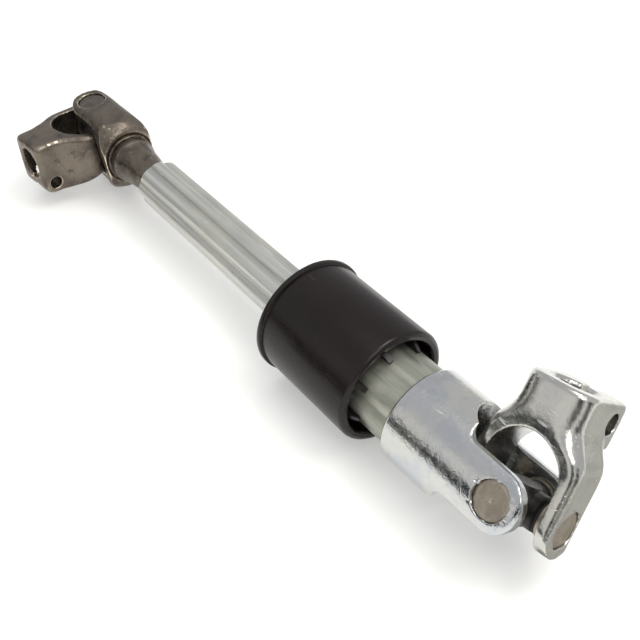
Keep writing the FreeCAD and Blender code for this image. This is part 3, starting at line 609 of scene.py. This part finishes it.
def lathe(outline):
    """Closed solid turned about Z. Ends on the axis become single points."""
    bm = bmesh.new()
    rings = []
    for radius, z in rounded(outline):
        radius, z = radius * MM, z * MM
        if radius < 1e-9:
            rings.append([bm.verts.new((0, 0, z))])
            continue
        turns = [2 * math.pi * i / TURNED_SIDES for i in range(TURNED_SIDES)]
        rings.append([bm.verts.new((radius * math.cos(turn), radius * math.sin(turn), z))
                      for turn in turns])
    pairs = list(zip(rings, rings[1:]))
    if len(rings[0]) > 1:
        pairs.append((rings[-1], rings[0]))
    for first, second in pairs:
        for i in range(TURNED_SIDES):
            j = (i + 1) % TURNED_SIDES
            if len(first) == 1:
                bm.faces.new((first[0], second[j], second[i]))
            elif len(second) == 1:
                bm.faces.new((first[i], first[j], second[0]))
            else:
                bm.faces.new((first[i], first[j], second[j], second[i]))
    bmesh.ops.recalc_face_normals(bm, faces=bm.faces)
    mesh = mesh_from(bm, "lathe")
    mesh.shade_smooth()
    mesh.set_sharp_from_angle(angle=math.radians(38))
    return mesh


def turned_piece(node, outline, centre, direction, material=None):
    """A turned piece with its Z axis along direction and its origin at the joint's centre."""
    piece = add_piece(node, lathe(outline), material)
    side = direction.cross(Vector((0.3, 0.5, 0.8))).normalized()
    placement = Matrix((side, direction.cross(side), direction)).transposed().to_4x4()
    placement.translation = centre
    piece.matrix_world = placement
    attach(piece, BODY[node])


for end, cup_material in (("lower", MATERIALS["cup_steel"]), ("upper", UPPER_CUP)):
    centre = Vector(joints[end + "_fold"]["pos_m"])
    fold = Vector(joints[end + "_fold"]["axis"]).normalized()
    tilt = Vector(joints[end + "_tilt"]["axis"]).normalized()
    for side, direction in (("near", fold), ("far", -fold), ("right", tilt), ("left", -tilt)):
        turned_piece(f"{end}_cup_{side}", CUP_OUTLINE, centre, direction, cup_material)
        turned_piece(f"{end}_seal_{side}", SEAL_OUTLINE, centre, direction)

# the needles keep their own shape
for node, piece in frame["nodes"].items():
    if "_needles_" in node:
        set_material(piece.data, MATERIALS["needle_steel"])


# ------------------------------------------------------------------ floor
def grid_mesh(name, columns, rows, place):
    """A sheet of quads. place gives a point for two fractions from 0 to 1."""
    bm = bmesh.new()
    grid = [[bm.verts.new(place(i / columns, j / rows)) for j in range(rows + 1)]
            for i in range(columns + 1)]
    for i in range(columns):
        for j in range(rows):
            bm.faces.new((grid[i][j], grid[i + 1][j], grid[i + 1][j + 1], grid[i][j + 1]))
    return mesh_from(bm, name)


FLOOR_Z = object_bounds()[0].z - 0.0004
FLOOR_SIZE = 6.0


def pale_floor():
    mat = Material("pale_floor")
    mat.base(mat.noise(scale=3.0, detail=3.0, rough=0.5),
             low=(0.62, 0.62, 0.61), high=(0.65, 0.65, 0.64))
    mat.bump(mat.noise(scale=900.0, detail=2.0, rough=0.5), strength=0.02, distance=0.0002)
    mat.put(mat.principled.inputs["Emission Color"], (1.0, 1.0, 0.985))
    mat.put(mat.principled.inputs["Emission Strength"], 0.36)
    return mat.finish(rough=0.85, spec=0.1)


floor = add_object("floor", grid_mesh(
    "floor", 24, 24, lambda u, v: ((u - 0.5) * FLOOR_SIZE, (v - 0.5) * FLOOR_SIZE, 0.0)))
floor.location = (0, 0, FLOOR_Z)
set_material(floor.data, pale_floor())


# ------------------------------------------------------------------ world
def studio_world():
    """A soft pale room with dark areas low down. The camera sees a plain backdrop."""
    world = bpy.data.worlds.new("studio")
    scene.world = world
    world.use_nodes = True
    sky = Shader(world.node_tree, "Generated")
    split = sky.node("SeparateXYZ", {0: sky.coords})
    height = split.outputs["Z"]
    azimuth = sky.math("ARCTAN2", split.outputs["Y"], split.outputs["X"])

    def panel(centre, half, soft, top, colour):
        """An upright band: azimuth, half width and soft edge in degrees, height it ends at."""
        away = sky.math("ABSOLUTE", sky.math("SUBTRACT", azimuth, math.radians(centre)))
        across = sky.ramp(away, span=(math.radians(half), math.radians(half - soft)))
        sky.overlay(sky.times(across, by=sky.ramp(height, span=(top + 0.08, top))), colour)

    sky.base(sky.ramp(height, span=(0.05, 0.75)),
             low=(0.64, 0.64, 0.645), high=(0.625, 0.628, 0.64))
    # ceiling
    sky.overlay(sky.ramp(height, span=(0.90, 0.98)), colour=(1.1, 1.1, 1.08))
    # a broad light panel towards -Y
    panel(centre=-84.0, half=46.0, soft=16.0, top=0.58, colour=(0.86, 0.85, 0.83))
    # darker low down, towards -Y and -X
    facing = sky.node("VectorMath", {0: sky.coords, 1: Vector((-0.47, -0.88, 0.0)).normalized()},
                      operation="DOT_PRODUCT").outputs["Value"]
    dark_side = sky.ramp(facing, span=(0.30, 0.80))
    sky.overlay(sky.times(dark_side, by=sky.ramp(height, span=(0.26, 0.15))),
                colour=(0.030, 0.034, 0.036))
    # towards +X: two dark strips with a light gap between them
    panel(centre=-31.0, half=12.0, soft=4.0, top=0.55, colour=(0.020, 0.022, 0.022))
    panel(centre=-13.0, half=7.0, soft=3.0, top=0.36, colour=(0.98, 0.97, 0.94))
    panel(centre=3.0, half=11.0, soft=3.0, top=0.30, colour=(0.030, 0.032, 0.032))
    # darker at and below the horizon
    sky.overlay(sky.ramp(height, span=(0.05, 0.015)), colour=(0.16, 0.16, 0.16), share=0.6)
    camera_ray = sky.node("LightPath", {}).outputs["Is Camera Ray"]
    sky.overlay(camera_ray, colour=(0.96, 0.96, 0.95))
    background = sky.node("Background", {"Color": sky.colour, "Strength": 1.0})
    sky.node("OutputWorld", {0: background.outputs[0]})


studio_world()


# ------------------------------------------------------------------ lights
def area(name, place, target, size, power, colour, glossy):
    light = bpy.data.lights.new(name, "AREA")
    light.shape = "RECTANGLE"
    light.size = light.size_y = size
    light.energy = power
    light.color = colour
    lamp = add_object(name, light)
    lamp.location = place
    lamp.rotation_mode = "QUATERNION"
    lamp.rotation_quaternion = (Vector(target) - Vector(place)).to_track_quat("-Z", "Y")
    lamp.visible_glossy = glossy


area("top_soft", place=(0.1, 0.15, 1.3), target=(0, 0, 0), size=1.8, power=10.5,
     colour=(1.0, 0.99, 0.97), glossy=False)
area("key_soft", place=(0.75, -0.1, 0.75), target=(0, 0, 0), size=0.35, power=1.6,
     colour=(1.0, 0.97, 0.92), glossy=True)
area("edge_soft", place=(0.30, 0.28, 0.95), target=(-0.1, 0, 0), size=0.42, power=3.4,
     colour=(1.0, 0.98, 0.94), glossy=True)

# ------------------------------------------------------------------ cards, seen only in reflections
CARD_BULGE = 0.03


def reflected_card(name, mesh, scale, span, low, high):
    card = add_object(name, mesh)
    mat = Material(name)
    patch = mat.noise(scale=scale, detail=3.0, warp=0.4)
    mat.base(mat.ramp(patch, span), low, high)
    set_material(mesh, mat.finish(rough=0.9, spec=0.0))
    card.visible_camera = False
    card.visible_diffuse = False
    card.visible_shadow = False
    card.visible_transmission = False


def dark_card(name, start, end, top):
    """An upright card from start to end on the floor, bulging away from the product."""
    start, end = Vector((*start, 0.0)), Vector((*end, 0.0))
    bottom = FLOOR_Z + 0.001
    bulge = Vector((end.y - start.y, start.x - end.x, 0.0)).normalized() * CARD_BULGE

    def place(u, v):
        rise = Vector((0, 0, bottom + (top - bottom) * v))
        return start.lerp(end, u) + bulge * math.sin(math.pi * u) + rise

    reflected_card(name, grid_mesh(name, 24, 4, place), scale=34.0, span=(0.56, 0.68),
                   low=(0.02, 0.023, 0.026), high=(0.22, 0.225, 0.22))


def floor_shade_sheet(name, x_span, y_span, z):
    """A level grey sheet just above the floor, seen only in reflections: painted shade of the floor beside the
    product.
    """
    def place(u, v):
        return (x_span[0] + (x_span[1] - x_span[0]) * u,
                y_span[0] + (y_span[1] - y_span[0]) * v, z)

    reflected_card(name, grid_mesh(name, 16, 16, place), scale=22.0, span=(0.35, 0.65),
                   low=(0.33, 0.33, 0.315), high=(0.46, 0.46, 0.44))


dark_card("dark_card_left", start=(-0.12, -0.21), end=(0.09, -0.21), top=0.050)
dark_card("dark_card_far", start=(-0.52, -0.21), end=(-0.30, -0.21), top=0.050)
dark_card("dark_card_right", start=(0.34, -0.075), end=(0.34, 0.06), top=0.030)
# grey sheet seen only in reflections: painted shade of the floor next to the product
floor_shade_sheet("floor_shade_sheet", x_span=(0.108, 0.30), y_span=(-0.02, 0.22), z=FLOOR_Z + 0.0006)

# ------------------------------------------------------------------ camera
CAMERA_PLACE = (0.21018, -0.17376, 0.25858)
forward = Vector((-0.5966, 0.4508, -0.664)).normalized()
right = Vector((0.6028, 0.7979, 0.0))
right = (right - forward * right.dot(forward)).normalized()
up = right.cross(forward).normalized()

lens = bpy.data.cameras.new("camera")
lens.sensor_width = 36.0
lens.lens = 50.3094375
lens.clip_start = 0.01
lens.clip_end = 20.0
camera = add_object("camera", lens)
turn = Matrix((right, up, -forward)).transposed()
camera.matrix_world = Matrix.Translation(CAMERA_PLACE) @ turn.to_4x4()
scene.camera = camera
scene.view_settings.view_transform = "Standard"
